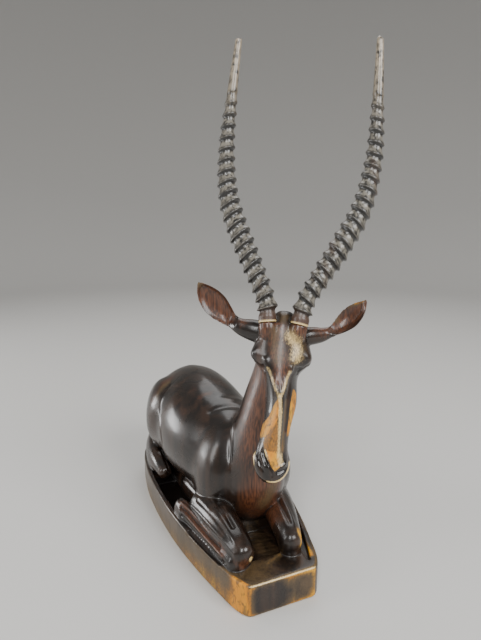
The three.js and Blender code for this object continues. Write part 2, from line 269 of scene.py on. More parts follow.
# The muscles of the trunk run softly into each other. The smoothing thins them by about a millimetre, which
# the skin is given back.
soft_names = ("barrel", "neck", "haunch", "shoulder")
soft_masses = [mass for mass in masses if mass.name.split(".")[0] in soft_names]
trunk_cell = 0.0024
trunk = fuse(soft_masses, "trunk", trunk_cell)
x, y, z = points_of(trunk).T * 1000
on_blades = at_withers(y, z) * ramp(np.abs(x - 2), 14, 24)
soften(trunk, 70, np.clip(0.38 + 0.62 * on_blades - 0.28 * ramp(z, 105, 140), 0, 1))
_, y, z = points_of(trunk).T * 1000
thinned = 1.0 + 0.7 * at_withers(y, z) - 0.5 * ramp(z, 105, 140)
move_points(trunk, points_of(trunk) * 1000 + facing_of(trunk) * thinned[:, None])
apply_modifier(trunk, "SUBSURF", levels=1)
masses = [trunk] + [mass for mass in masses if mass not in soft_masses]

# The head is turned to the animal's right. Its frame has the poll at the origin and the brow facing -Y.
poll = Vector((14, -96, 206))
head_turn, head_lean, face_tilt = math.radians(-31.5), math.radians(3.2), math.radians(-17)
head_place = Matrix.Translation(poll) @ Matrix.Rotation(head_turn, 4, "Z")
head_place = head_place @ Matrix.Rotation(head_lean, 4, "Y")
face_place = head_place @ Matrix.Rotation(face_tilt, 4, "X")
head_length = 118
face_bend = 3


def skull():
    """Skull from the chin up to the crown, wider at the cheeks than over the nose."""
    piece, latitude, angle = ball("skull", 80, 110)
    stations = [
        [-0.065, 17.5, 5, 6, 0],
        [-0.03, 16.8, 8.5, 10.5, 0],
        [0.015, 16.6, 11.5, 13.4, 0],
        [0.055, 16.7, 14.8, 15.5, 0],
        [0.1, 17.4, 18.2, 17.2, 0],
        [0.16, 18.6, 20.8, 18.6, 0],
        [0.225, 19, 21.6, 19.2, 0],
        [0.275, 19, 19, 19.2, 0.08],
        [0.325, 18.5, 13.7, 18.6, 0.25],
        [0.38, 17.4, 11.4, 17.6, 0.38],
        [0.5, 14.8, 10.7, 14.8, 0.42],
        [0.62, 13.1, 10, 13.1, 0.28],
        [0.73, 12.2, 10.4, 12.2, 0.12],
        [0.8, 11.9, 11.3, 11.9, 0.04],
        [0.86, 11.6, 12.7, 11.4, 0],
        [0.91, 11.2, 12.1, 10.4, 0],
        [0.96, 10.8, 8.8, 8, 0],
        [0.99, 10.5, 4.6, 4.6, 0],
    ]
    cap = np.clip((np.abs(latitude) - 0.96) / 0.04, 0, 1) * np.pi / 2
    down, setback, width, depth, cheek = spline(stations, (1 - latitude / 0.96) / 2).T
    cosine, sine = np.cos(angle), np.sin(angle)
    front, aside = np.maximum(0, -sine), np.abs(cosine)
    eye = 2 * hump(down - 0.225, 0.045) * hump(aside - 0.92, 0.12)
    brow = 1.6 * hump(down - 0.4, 0.13) * hump(aside - 0.45, 0.22) * front
    bridge = 1.2 * hump(down - 0.62, 0.2) * hump(cosine, 0.4) * front
    nostril = 1.3 * hump(down - 0.865, 0.04) * hump(aside - 0.55, 0.2) * front
    flatness = 2.2 * hump(down - 0.13, 0.12) * front * front
    across = cosine * np.cos(cap) * (width * (1 + cheek * sine) + eye) + face_bend * hump(down - 0.52, 0.16)
    out = setback + sine * np.cos(cap) * (depth + brow + bridge - nostril - flatness)
    move_points(piece, np.stack([across, out, -down * head_length], axis=1), face_place)
    return piece


def ear(side):
    """An ear: a stalk that opens into a cupped leaf, its hollow to the front."""
    length, raised, twist = (46, 1.15, math.radians(40)) if side > 0 else (58, 1, 0)
    stations = [
        [-0.18, -0.05, 0.16],
        [0.04, -0.01, 0.14],
        [0.17, 0.015, 0.115],
        [0.3, 0.075, 0.094],
        [0.42, 0.165, 0.138],
        [0.55, 0.285, 0.172],
        [0.68, 0.425, 0.13],
        [0.8, 0.58, 0.014],
    ]
    root, cup, wall = np.array([side * 21.5, 15, -13]), 8, 2.8
    piece, latitude, angle = ball("ear", 56, 80)
    share = (latitude + 1) / 2
    cap = np.sqrt(np.clip(1 - np.clip((np.abs(latitude) - 0.92) / 0.08, 0, 1) ** 2, 0, 1))
    spine = [[side * out * length, 0, raised * up * length] + root for out, up, _ in stations]
    wide = np.array([-side * math.cos(twist), math.sin(twist), math.cos(twist)])
    middle, across, above, _ = along_curve(spine, share, wide)
    width = spline([[row[2] * length] for row in stations], share)[:, 0] * cap
    opening = np.clip((share - 0.36) / 0.12, 0, 1)
    opening = opening**2 * (3 - 2 * opening)
    outer = width + (np.minimum(width, cup) - width) * opening
    hollow = -outer + (np.maximum(outer - wall, 0) + outer) * opening
    behind = -np.sin(angle) * side
    bulge = outer * np.abs(behind) ** 0.85
    dish = hollow * np.abs(behind) ** (1 + 0.25 * opening)
    lift = np.where(behind > 0, bulge, dish)
    points = middle + across * (width * np.cos(angle))[:, None] - above * (side * lift)[:, None]
    move_points(piece, points, head_place)
    return piece


# The stumps carry the horns, so the horns' line is settled here.
horn_length = 205
horn_foot = 13
horn_drop = 4.5


def horn_spine(side):
    """A horn's middle line from its foot on the stump to its tip, in the head's frame."""
    shares = [
        [0, 0, -horn_drop / horn_length],
        [0.014, 0.022, 0.056],
        [0.064, 0.055, 0.154],
        [0.121, 0.09, 0.256],
        [0.184, 0.128, 0.397],
        [0.21, 0.165, 0.575],
        [0.202, 0.187, 0.787],
        [0.191, 0.2, 0.957],
    ]
    return np.array([
        [side * (11.5 + out * horn_length), 5 + back * horn_length, up * horn_length]
        for out, back, up in shares
    ])


def stump(side):
    """Stump that carries a horn, its foot bent back into the skull and its top square to the horn."""
    spine = horn_spine(side)
    rise = spline(spine, np.array([0.01]))[0] - spine[0]
    rise /= np.linalg.norm(rise)
    stations = []
    for share in (1, 0.5, 0.25, 0):
        middle = spine[0] - rise * 11 * share + np.array([0, 6, 0]) * share**3
        stations.append([*middle, horn_foot / 2 + 0.8 * share, horn_foot / 2 + 0.8 * share])
    return limb("stump", stations, domes=(0, 0), place=head_place)


def cut(piece, cutter):
    """Cuts the cutter out of the piece and removes the cutter."""
    apply_modifier(piece, "BOOLEAN", operation="DIFFERENCE", solver="EXACT", object=cutter)
    bpy.data.objects.remove(cutter)


# The crown is cut away round each horn's foot, so that the horn stands clear of it.
head = skull()
for side in (-1, 1):
    low_horn = spline(horn_spine(side), np.linspace(0, 0.16, 4))
    room = limb("horn_room", [[*point, 8.6, 8.6] for point in low_horn], domes=(0, 0), place=head_place)
    cut(head, room)
    masses += [ear(side), stump(side)]
masses.append(head)

# Plinth: a boat-shaped block with a blunt front.
plinth_length, plinth_width, plinth_height = 264, 119, 26
plinth_front_width = 60
plinth_corner = 12
rim_width, recess_depth = 4.5, 4
plinth_front = -plinth_length / 2


def plinth_outline(inset):
    """The plinth's outline from above, drawn in all round by an inset."""
    half, nose = plinth_width / 2 - inset, plinth_front_width / 2 - inset
    front, back = plinth_front + inset, plinth_length / 2 - inset
    corner = np.array([nose + plinth_corner * 0.6, front + plinth_corner * 1.7])
    t = np.linspace(0, 1, 9)[:, None]
    start, pull = np.array([nose - plinth_corner * 0.5, front]), np.array([nose + plinth_corner * 0.1, front])
    bend = (1 - t) ** 2 * start + 2 * t * (1 - t) * pull + t**2 * corner
    flank = [
        corner,
        [half * 0.79, front + plinth_length * 0.22],
        [half * 0.93, front + plinth_length * 0.39],
        [half, front + plinth_length * 0.58],
        [half * 0.985, front + plinth_length * 0.75],
        [half * 0.84, back - plinth_length * 0.1],
        [half * 0.4, back - plinth_length * 0.012],
        [0, back],
    ]
    right = np.vstack([bend[:-1], spline(flank, np.linspace(0, 1, 64))])
    return np.vstack([right, right[::-1][1:] * [-1, 1]])


def slab(name, inset, bottom, top):
    """The outline as a slab between two heights."""
    outline = plinth_outline(inset)
    bpy.ops.mesh.primitive_circle_add(vertices=len(outline), radius=1, fill_type="NGON")
    piece = bpy.context.object
    piece.name = name
    move_points(piece, np.column_stack([outline, np.full(len(outline), float(bottom))]))
    bpy.ops.object.mode_set(mode="EDIT")
    bpy.ops.mesh.select_all(action="SELECT")
    bpy.ops.mesh.extrude_region_move(TRANSFORM_OT_translate={"value": (0, 0, (top - bottom) / 1000)})
    bpy.ops.mesh.select_all(action="SELECT")
    bpy.ops.mesh.normals_make_consistent(inside=False)
    bpy.ops.object.mode_set(mode="OBJECT")
    return piece


def block(x0, x1, y0, y1):
    """A box between these limits in millimetres, taller than the plinth."""
    bottom, top = -10, 60
    middle = ((x0 + x1) / 2000, (y0 + y1) / 2000, (bottom + top) / 2000)
    size = ((x1 - x0) / 1000, (y1 - y0) / 1000, (top - bottom) / 1000)
    bpy.ops.mesh.primitive_cube_add(size=1, location=middle, scale=size)
    bpy.ops.object.transform_apply(location=True, rotation=True, scale=True)
    return bpy.context.object


plinth = slab("plinth", 0, 0, plinth_height)
apply_modifier(plinth, "BEVEL", width=0.002, segments=3, limit_method="ANGLE", angle_limit=math.radians(50))
floor_cut = slab("floor_cut", rim_width, plinth_height - recess_depth, plinth_height + 20)
cut(floor_cut, block(-33, 25, plinth_front - 5, plinth_front + 24))
cut(floor_cut, block(-80, 80, plinth_front - 5, plinth_front + 8))
cut(plinth, floor_cut)
for side in (-1, 1):
    pit = slab("pit", rim_width + 1, plinth_height - 13, plinth_height + 20)
    cut(pit, block(-80, 80, -150, -13))
    cut(pit, block(-80, 80, 44, 150))
    cut(pit, block(-20, 80, -30, 60) if side < 0 else block(-80, 20, -30, 60))
    cut(plinth, pit)

# All the masses become one skin, which is then smoothed as the rasp and the sandpaper do.
skin_cell = 0.00075
gazelle = fuse([plinth, *masses], "gazelle", skin_cell)


def in_face(points):
    """The points in the face's frame: across, back from the brow, and down from the poll."""
    x, y, z = seen_from(points, face_place).T
    return np.stack([x, y, -z], axis=1)


def on_face(path):
    """Places given in the face's frame, as places in the model."""
    return placed(np.array(path, float) * [1, 1, -1], face_place)


# The first pass evens the skin, and the second rounds the body and spares the plinth and the face.
soften(gazelle, 5)
across, back, down = in_face(points_of(gazelle) * 1000).T
in_head = ramp(-np.abs(across), -34, -28) * ramp(down, -14, -10)
in_head = in_head * ramp(-down, -126, -118) * ramp(-back, -52, -46)
z = points_of(gazelle)[:, 2] * 1000
soften(gazelle, 25, ramp(z, 44, 62) * (1 - in_head))

# The crown between the horns is worn round.
aside, _, up = seen_from(points_of(gazelle) * 1000, head_place).T
soften(gazelle, 60, ramp(up, -4, 0) * ramp(-np.abs(aside), -10, -7))

# The head's skin is divided more finely, for the lids and the nostrils.
bpy.ops.object.mode_set(mode="EDIT")
bpy.ops.mesh.select_all(action="DESELECT")
bpy.ops.mesh.select_mode(type="FACE")
bpy.ops.object.mode_set(mode="OBJECT")
corners = np.empty(len(gazelle.data.loops), int)
gazelle.data.loops.foreach_get("vertex_index", corners)
gazelle.data.polygons.foreach_set("select", (in_head > 0.5)[corners].reshape(-1, 4).all(axis=1))
bpy.ops.object.mode_set(mode="EDIT")
bpy.ops.mesh.subdivide(number_cuts=1, smoothness=0)
bpy.ops.object.mode_set(mode="OBJECT")
soften(gazelle, 3)


def reach_of(points, path):
    """How far each point is from a path of straight lines."""
    best = np.full(len(points), np.inf)
    for start, end in zip(path[:-1], path[1:]):
        step = end - start
        t = np.clip((points - start) @ step / (step @ step), 0, 1)
        best = np.minimum(best, np.linalg.norm(points - start - t[:, None] * step, axis=1))
    return best


def brush(points, path, width):
    """How strongly a brush of this width, drawn along the path, touches each point."""
    path = spline(path, np.linspace(0, 1, 3 * len(path)))
    touch = np.zeros(len(points))
    low, high = path.min(axis=0) - 2.5 * width, path.max(axis=0) + 2.5 * width
    near = np.all((points > low) & (points < high), axis=1)
    touch[near] = hump(reach_of(points[near], path), width)
    return touch


# Carving of the face. A cut is a path in the face's frame, its width, and how high it stands, or how deep it
# goes where that is below zero.
face_cuts = [
    # Eyes under heavy lids
    ([(-20, 8, 24.5), (-19.5, 11, 28)], 3.4, 0.9),
    ([(-21, 20, 29), (-19, 18, 32.5), (-16, 15.5, 35.5), (-11.5, 12, 38)], 0.9, -1.3),
    ([(-20.5, 22, 31.5), (-18, 20, 35), (-15, 17.5, 38), (-11.5, 14.5, 40)], 0.8, 0.7),
    ([(-19, 23, 34.5), (-16.5, 21, 37.5), (-13.5, 18.5, 40)], 0.8, -0.8),
    ([(21, 7.5, 23), (20.5, 10.5, 27)], 3.4, 0.9),
    ([(22, 17.5, 26), (20.5, 14, 30), (17.5, 13, 33.5), (13.5, 12, 36)], 0.9, -1.3),
    ([(21.5, 19.5, 28.5), (20, 16.5, 33), (17, 15, 36), (13.5, 14, 38.5)], 0.8, 0.7),
    ([(20, 19.5, 33), (17.5, 17.5, 37), (14.5, 16.5, 39.5)], 0.8, -0.8),
    ([(20.5, 4.5, 20), (17.5, 4, 24), (15.5, 5.5, 28)], 1.0, -0.35),
    # Hollows under the brow
    ([(9, 3.5, 31.5), (12, 6.5, 33.5), (15, 9.5, 34.5)], 2.0, -1.4),
    ([(-10, 5, 35), (-12.5, 9, 36.5)], 1.8, -1.0),
    # Two ridges that run down from the brows and meet on the nose, with a valley between them
    ([(-9.5, 3.5, 30), (-8, 3.5, 35.5), (-4.5, 2.5, 42), (-1.2, 0.5, 48.5), (0.6, 0, 52)], 2.3, 1.6),
    ([(9.5, 3, 31), (8.2, 3, 37), (6.2, 2, 43), (5, 0.5, 49), (4.4, 0, 52)], 2.1, 1.4),
    ([(-11, 7, 38), (-9, 7, 44), (-6.5, 5, 51), (-5, 3.5, 58), (-5, 3.5, 66)], 2.4, -1.2),
    ([(11, 6, 40), (10, 5.5, 47), (9, 4, 55), (9, 4, 66), (9.5, 4.5, 78)], 2.0, -1.1),
    ([(2.8, -0.5, 56.5), (4, -0.5, 66), (4.7, 0, 76), (5.2, 0.5, 86), (5, 0.8, 96)], 2.4, 1.3),
    # Nostrils, each with a flap, and the cleft between them
    ([(-5.6, 2, 95.5), (-4.5, 1.2, 99), (-2.5, 0.6, 102.5)], 1.5, -1.6),
    ([(-4, 0.4, 94), (-2.2, 0, 97), (-0.8, 0, 100)], 1.1, 0.9),
    ([(-8, 3.4, 96), (-6, 2.4, 101), (-3.5, 1.4, 105)], 1.0, 0.3),
    ([(-9.6, 5.5, 98), (-7.5, 3.8, 103), (-4, 2.6, 107)], 1.8, -0.8),
    ([(6, 3, 108.5), (9, 5, 107.5), (11, 7.5, 105.5)], 1.4, -2.2),
    ([(4.5, 1.2, 104.5), (8, 3, 103.5), (10.5, 5.5, 101.5)], 1.2, 0.8),
    ([(0, 0, 103.5), (1.5, 0.8, 106.5), (2.5, 2.4, 110.5)], 0.8, -1.2),
    # Rolled lip all round the muzzle, and the mouth below it
    ([
        (-11, 11, 84), (-12.6, 10.5, 91), (-12.5, 10, 97), (-11.2, 8.6, 103), (-8.3, 7.2, 108.5),
        (-4, 6, 112.5), (0.5, 5.2, 114.5), (4.5, 6, 114.5), (8.5, 8.2, 112.5), (11.5, 10.8, 108),
        (12.8, 12.5, 102), (12.5, 13.5, 95),
    ], 1.0, 0.9),
    ([
        (-10.5, 8.5, 90), (-10, 6, 97), (-8, 4, 102.5), (-4.5, 3, 107.5), (0, 2.5, 110.5), (5, 4, 111),
        (9, 6.5, 110),
    ], 0.9, -0.7),
    ([
        (-12, 20, 92), (-11.5, 15.5, 101), (-8, 12, 108.5), (0, 10.5, 113.5), (8, 12, 112),
        (12.5, 17, 104), (12.5, 21, 95),
    ], 0.9, -1.1),
    ([(-12.5, 15, 98), (-9.5, 12.5, 106.5), (-4.5, 10.5, 112.5), (1, 10, 115.5)], 2.4, -1.8),
]


def on_head(path):
    """Places given in the head's frame, as places in the model."""
    return placed(np.array(path, float), head_place)


def along_ear(side, offset, setback):
    """A line inside the ear from its opening to its tip, off to one side of the middle."""
    length, raised = (46, 1.15) if side > 0 else (58, 1)
    stations = [(0.42, 0.165, 0.6), (0.55, 0.285, 1), (0.68, 0.425, 0.75), (0.78, 0.55, 0.2)]
    return [
        (side * (21.5 + (out - up_off) * length), setback, -13 + raised * (up + up_off) * length)
        for out, up, wide in stations
        for up_off in [offset * wide]
    ]


# Collar where each ear opens, and the long grooves in its hollow
head_cuts = [(along_ear(side, offset, 17), 1.2, -0.7) for side in (-1, 1) for offset in (-0.05, 0.0, 0.05)]
head_cuts += [([(-40, 15, -10), (-39, 9, -8), (-36, 9, -5), (-36, 15, -4)], 1.0, 0.8)]
head_cuts += [([(37, 15, -12), (37, 9, -9), (34, 9, -6), (34, 15, -4)], 1.0, 0.8)]

# Carving of the body, the legs and the plinth, in the model's frame.
body_cuts = [
    # Crease before each haunch, hollow above the shoulders, and the spine
    ([
        (-34, 47, 113), (-42, 43.5, 103), (-46.5, 36, 93), (-49, 28, 82), (-49, 24, 70), (-45, 26, 58),
    ], 2.2, -1.6),
    ([(26, 45, 113), (34, 43, 103), (38, 36, 93), (41, 28, 82), (41, 24, 70), (38, 26, 58)], 2.2, -1.6),
    ([(-15, -21, 110), (-9, -21, 112.5), (-1, -22, 113.5), (8, -24, 112.5), (17, -26, 109)], 3.8, -1.5),
    ([(-4, -9, 114.5), (5, -11, 115.5), (15, -8, 112)], 3.4, 0.6),
    ([(-4, 88, 119), (-5, 60, 127), (-6, 26, 126), (-3, 2, 119)], 5, 0.5),
    # Creases between the neck and the shoulders
    ([(-10, -48, 116), (-13, -60, 98), (-14.5, -66, 82), (-14, -70, 64)], 2.0, -1.4),
    ([(27, -48, 112), (29, -60, 96), (31, -66, 80), (30, -68, 62)], 2.0, -1.4),
    # Tendons of the right foreleg, and the bones of its folded shank
    ([(-31, -74, 51), (-30, -90, 49.5), (-28.5, -104, 46), (-26.5, -111, 42)], 2.1, 0.8),
    ([(-22, -82, 51), (-21, -98, 48.5), (-20, -108, 45.5), (-19, -111, 43)], 2.1, 0.8),
    ([(-26.5, -70, 53), (-26, -88, 51), (-25.5, -97, 49)], 1.5, -0.9),
    ([
        (-42, -46, 41), (-40, -61, 43), (-37.5, -78, 43.5), (-34.5, -93, 43), (-32, -104, 41.5),
        (-29.5, -112, 39),
    ], 1.4, 1.3),
    ([(-38, -50, 47), (-36, -64, 48), (-33.5, -80, 48), (-31.5, -94, 46.5), (-29, -106, 43.5)], 1.3, -1.5),
    ([
        (-47.5, -34, 38), (-44, -46, 37.5), (-40.5, -62, 37), (-37.5, -78, 36.5), (-35, -94, 37.5),
    ], 1.2, 1.3),
    ([
        (-50, -38, 34), (-46, -52, 33), (-42.5, -68, 32), (-39.5, -83, 31.5), (-36.5, -98, 31.5),
        (-33, -110, 31.5),
    ], 1.2, 1.3),
    ([
        (-49.5, -36, 36.2), (-45.5, -49, 35.4), (-41.8, -65, 34.6), (-38.7, -80, 34), (-36, -96, 34.5),
    ], 1.0, -1.7),
    ([
        (-50.5, -40, 30.5), (-46.8, -54, 29.5), (-43, -70, 28.5), (-40, -85, 28), (-37, -100, 28.5),
    ], 1.0, -1.6),
    ([(-48, -58, 25), (-44.5, -74, 25), (-41, -88, 25), (-37, -101, 25)], 1.8, -2.2),
    # The left foreleg's
    ([(24.5, -78, 52.5), (22.8, -93, 50), (21, -104, 47.5), (18.5, -112, 44)], 1.6, 0.9),
    ([(16, -80, 52), (15, -95, 49.5), (13.5, -108, 45)], 1.8, 0.6),
    ([(20.5, -76, 53), (19, -93, 50.5), (17.5, -106, 47)], 1.2, -1.2),
    # Feet, cleft in two
    ([(-49, -20, 36), (-47, -30, 39), (-45, -36, 38)], 0.8, -1.3),
    ([(46, -26, 35), (44, -36, 38)], 0.8, -1.3),
    ([(-46.5, 52, 44), (-47, 38, 41), (-45.5, 28, 36)], 1.2, 0.8),
    ([(-43, 50, 43.5), (-43.5, 37, 40.5), (-43, 27, 36)], 1.0, -1.2),
    ([(46.5, 52, 44), (47, 38, 41), (45.5, 28, 36)], 1.2, 0.8),
    ([(43, 50, 43.5), (43.5, 37, 40.5), (43, 27, 36)], 1.0, -1.2),
]
# Chisel marks left on the sunk floor and the apron, side by side
for mark in range(9):
    y = -70 - mark * 4.2
    body_cuts.append(([(-11 + mark % 3, y, 22), (0, y - 2.5, 22), (11 + mark % 2, y - 4, 22)], 1.1, -0.22))


def keep_in_box(piece):
    """Holds the piece's points inside the CAD model's box."""
    move_points(piece, np.clip(points_of(piece), np.array(cad_low), np.array(cad_high)) * 1000)


def smooth_shade(piece):
    """Shades the piece's faces as one smooth skin."""
    bpy.ops.object.select_all(action="DESELECT")
    piece.select_set(True)
    bpy.ops.object.shade_smooth()


def paint_points(piece, paint):
    """Keeps four values between 0 and 1 at each of the piece's points, for its material."""
    attribute = piece.data.attributes.new("paint", "FLOAT_COLOR", "POINT")
    attribute.data.foreach_set("color", paint.ravel())


carved = points_of(gazelle) * 1000
height = sum(brush(carved, on_face(path), width) * rise for path, width, rise in face_cuts)
height += sum(brush(carved, on_head(path), width) * rise for path, width, rise in head_cuts)
height += sum(brush(carved, path, width) * rise for path, width, rise in body_cuts)

# The tool never leaves a face quite even.
x, y, z = carved.T
plinth_top = plinth_height + 1
waves = np.sin(x / 4.1 + 1.3 * np.sin(y / 7.3)) * np.sin(y / 5.3 + np.sin(z / 4.9))
waves = waves * np.sin(z / 5.9 + x / 9.1)
height += waves * np.where(z < plinth_top, 0.16, 0.07) * ramp(z, 0.5, 4)
move_points(gazelle, carved + facing_of(gazelle) * height[:, None])
keep_in_box(gazelle)

skin_limit = 195000
apply_modifier(gazelle, "DECIMATE", ratio=min(1, skin_limit / (2 * len(gazelle.data.polygons))))
smooth_shade(gazelle)
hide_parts("gazelle_with_plinth")
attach(gazelle, "root")

# Where the sapwood, the reddish wood and the pale wood show, with painted highlights in the pale channel, and
# painted shade in nostrils, cuts and recesses: four channels that the material reads. A tint is its channel,
# a path, the brush's width and how strong it is.
sap, red, pale, painted_shade = range(4)
face_tints = [
    (pale, [
        (-11, 11, 84), (-12.8, 10.2, 91), (-12.8, 9.6, 97), (-11.6, 8.2, 103), (-8.6, 6.8, 108.8),
        (-4, 5.6, 113),
    ], 1.3, 1.2),
    (pale, [
        (-4, 5.6, 113), (0.5, 4.8, 115), (4.5, 5.6, 115), (8.8, 7.8, 113), (11.8, 10.4, 108.3),
        (13, 12.2, 102),
    ], 1.3, 1.2),
    (pale, [(-4.5, 0.4, 93.5), (-2.7, 0, 96.5), (-1.2, 0, 99)], 1.2, 0.9),
    # Painted highlight down the right side of the nasal ridge.
    (pale, [
        (2.6, -1.5, 54), (3.6, -1.8, 60), (4.1, -1.6, 66), (4.8, -1.2, 76), (5.3, -0.7, 86),
        (5.6, 0, 97),
    ], 2.4, 0.63),
    # The ridges from the brows: worn pale wood with a painted highlight.
    (pale, [(-8, 2.3, 35.5), (-4.5, 1.2, 42), (-1.2, -0.8, 48.5), (1.6, -1.3, 54)], 2.2, 0.56),
    (pale, [(8.2, 2, 37), (6.2, 0.8, 43), (5, -0.8, 49), (3.6, -1.4, 54)], 2.2, 0.6),
    (sap, [(8, 2.5, 58), (8.5, 3, 78), (8, 3, 92)], 3, 0.55),
    # Painted highlight on the right of the muzzle.
    (pale, [(6.5, 1.5, 96), (7.5, 2.5, 101)], 3.4, 0.66),
    # Painted sheen on the right of the forehead, as golden and pale specks.
    (sap, [(6, 3, 10), (12, 4, 15), (14, 6, 22), (10, 3, 28)], 7, 0.36),
    (pale, [(7, 2, 12), (12, 3, 18), (12, 3, 26)], 9, 0.56),
    (pale, [(-3, 1, 12), (-1, 1, 26), (2, 0, 38)], 5, 0.22),
    (sap, [(-6, 2, 8), (-4, 2, 18), (-1, 1, 30)], 6, 0.36),
    (red, [(-4, 2, 6), (-5, 2, 16), (-3, 2, 24), (1, 1, 32), (2, 0, 44)], 7, 0.72),
    (red, [(8.5, 3, 58), (9, 4, 80)], 3, 0.6),
    # Painted shade in the nostrils and under the corner of the mouth.
    (painted_shade, [(-6.5, 3, 96), (-4.5, 1.2, 99), (-2.5, 0.6, 102.5)], 1.4, 1.0),
    (painted_shade, [(-9.6, 6, 97), (-7.5, 4, 103), (-4, 3, 107)], 1.6, 0.8),
    (painted_shade, [(5, 3, 109), (9, 5, 107.5), (11.5, 8, 105)], 1.7, 0.9),
]
head_tints = [
    (red, [(-13, 2, -3), (-13, 0, -10)], 7, 0.95),
    (red, [(13, 2, -3), (13, 0, -10)], 7, 1.0),
    (red, [(0, 8, 5), (0, 10, -4)], 8, 0.35),
    (sap, [(0, 6, 5), (0, 9, -3)], 7, 0.42),
    (red, [(-30, 13, -8), (-24, 15, -10)], 6, 0.7),
    (red, [(30, 13, -8), (24, 15, -10)], 6, 0.7),
    (red, along_ear(-1, 0, 17), 9, 1.1),
    (red, along_ear(1, 0, 17), 7, 1.0),
    (sap, [(-63, 14, 14), (-67, 14, 20)], 4, 0.5),
    (sap, along_ear(1, 0.07, 17), 2.6, 0.8),
]
body_tints = [
    (red, [(5, -82, 50), (3, -84, 60), (6, -86, 72), (10, -92, 84)], 17, 1.1),
    (red, [(4, -76, 90), (2, -74, 115), (6, -74, 140), (10, -76, 165), (16, -80, 185)], 15, 0.95),
    (sap, [(6, -86, 52), (8, -88, 62), (12, -90, 70)], 9, 0.38),
    # A reddish line with a pale streak along it at the front end of the back: a painted highlight.
    (red, [(-19, 1, 117), (-14, 1.5, 118.5), (-9, 0, 118.5)], 3.5, 0.6),
    (pale, [(-17, 1.5, 118), (-12, 1.5, 119)], 1.6, 0.42),
    (red, [(-36, 3, 104), (-33, -1, 105)], 5, 0.42),
    (sap, [(-34, 55, 114), (-40, 53, 109), (-46, 51, 101)], 5, 0.5),
    (red, [(-30, 60, 116), (-46, 56, 98)], 9, 0.6),
    (red, [(-47, -34, 36), (-42, -68, 34), (-36, -100, 34)], 5, 0.8),
    (sap, [(-49, -45, 31), (-43, -72, 30), (-37, -98, 30)], 2.2, 0.5),
    (red, [(-26, -95, 36), (-24, -112, 32)], 7, 0.9),
    (pale, [(-19.5, -116, 35), (-18.5, -116.5, 33)], 2.2, 0.9),
    (pale, [(-30, -112, 24), (-22, -118, 24), (-14, -116, 24)], 1.4, 0.6),
    # The sunk floor between the forelegs is lightened with stain, partly dust and partly painted light.
    (sap, [(0, -70, 22), (2, -88, 22), (2, -106, 22)], 15, 0.27),
    (sap, [(-10, -117, 26), (0, -113, 26), (9, -109, 26)], 2.6, 0.5),
    (sap, [(23, -112, 42), (23.5, -115, 35)], 4, 1.0),
    (sap, [(27, -92, 27), (31, -100, 27), (29, -118, 27)], 4, 0.9),
    (red, [(24, -70, 40), (26, -90, 38)], 7, 0.7),
    # Painted shade in the recess beside the left foreleg and in the groove along the right one's shank.
    (painted_shade, [(30, -84, 22), (28, -104, 22)], 4, 1.0),
    (painted_shade, [(-47, -50, 22), (-38, -92, 22)], 2.4, 1.0),
]
settled = points_of(gazelle) * 1000
paint = np.zeros((len(settled), 4))
for to_model, tints in ((on_face, face_tints), (on_head, head_tints), (np.array, body_tints)):
    for channel, path, width, strength in tints:
        paint[:, channel] = np.maximum(paint[:, channel], strength * brush(settled, to_model(path), width))

# Painted shade darkens the deep narrow cuts.
for to_model, cuts in ((on_face, face_cuts), (np.array, body_cuts)):
    for path, width, rise in cuts:
        if rise < -1.2 and width < 2:
            shade_in_cut = 0.8 * brush(settled, to_model(path), 0.8 * width)
            paint[:, painted_shade] = np.maximum(paint[:, painted_shade], shade_in_cut)

# Bare sapwood on the face: down one side of the nose, over the muzzle, and a strip on the other cheek.
face_patches = [
    ([
        (3, 55), (0, 59), (-2, 64), (-4, 70), (-8, 76), (-11, 81), (-9, 86), (-5, 84), (-2, 79),
        (1.5, 75), (3.4, 68),
    ], 1.1),
    ([
        (3.4, 70), (-1, 77), (-4, 82), (-7, 88), (-5, 94), (-2, 99), (1, 105), (4, 106), (6.5, 98),
        (5, 84),
    ], 0.58),
    ([(-3.5, 93), (-1, 98), (1.5, 104.5), (4, 107), (7, 104), (6.5, 98), (3, 94)], 1.0),
    ([(11.2, 49), (14, 52), (14, 62), (13, 73), (12, 83), (9.6, 83), (10, 72), (10.3, 60)], 1.05),
]


def closed(outline):
    """The outline with its first point again at its end."""
    return np.vstack([outline, outline[:1]]).astype(float)


def patch(points, outline):
    """From 0 outside a closed outline to 1 inside it, over a soft edge, on the front of the face."""
    soft, face_depth = 0.7, 17
    flat, ring = points[:, [0, 2]], closed(outline)
    inside = np.zeros(len(flat), bool)
    for start, end in zip(ring[:-1], ring[1:]):
        step = end - start
        crossing = (start[1] > flat[:, 1]) != (end[1] > flat[:, 1])
        inside ^= crossing & (flat[:, 0] < start[0] + (flat[:, 1] - start[1]) / (step[1] or 1) * step[0])
    edge = reach_of(flat, ring)
    return ramp(np.where(inside, edge, -edge), -soft, soft) * (points[:, 1] < face_depth)


on_brow = np.flatnonzero(settled[:, 2] > 90)
for outline, strength in face_patches:
    covered = strength * patch(in_face(settled[on_brow]), outline)
    paint[on_brow, sap] = np.maximum(paint[on_brow, sap], covered)

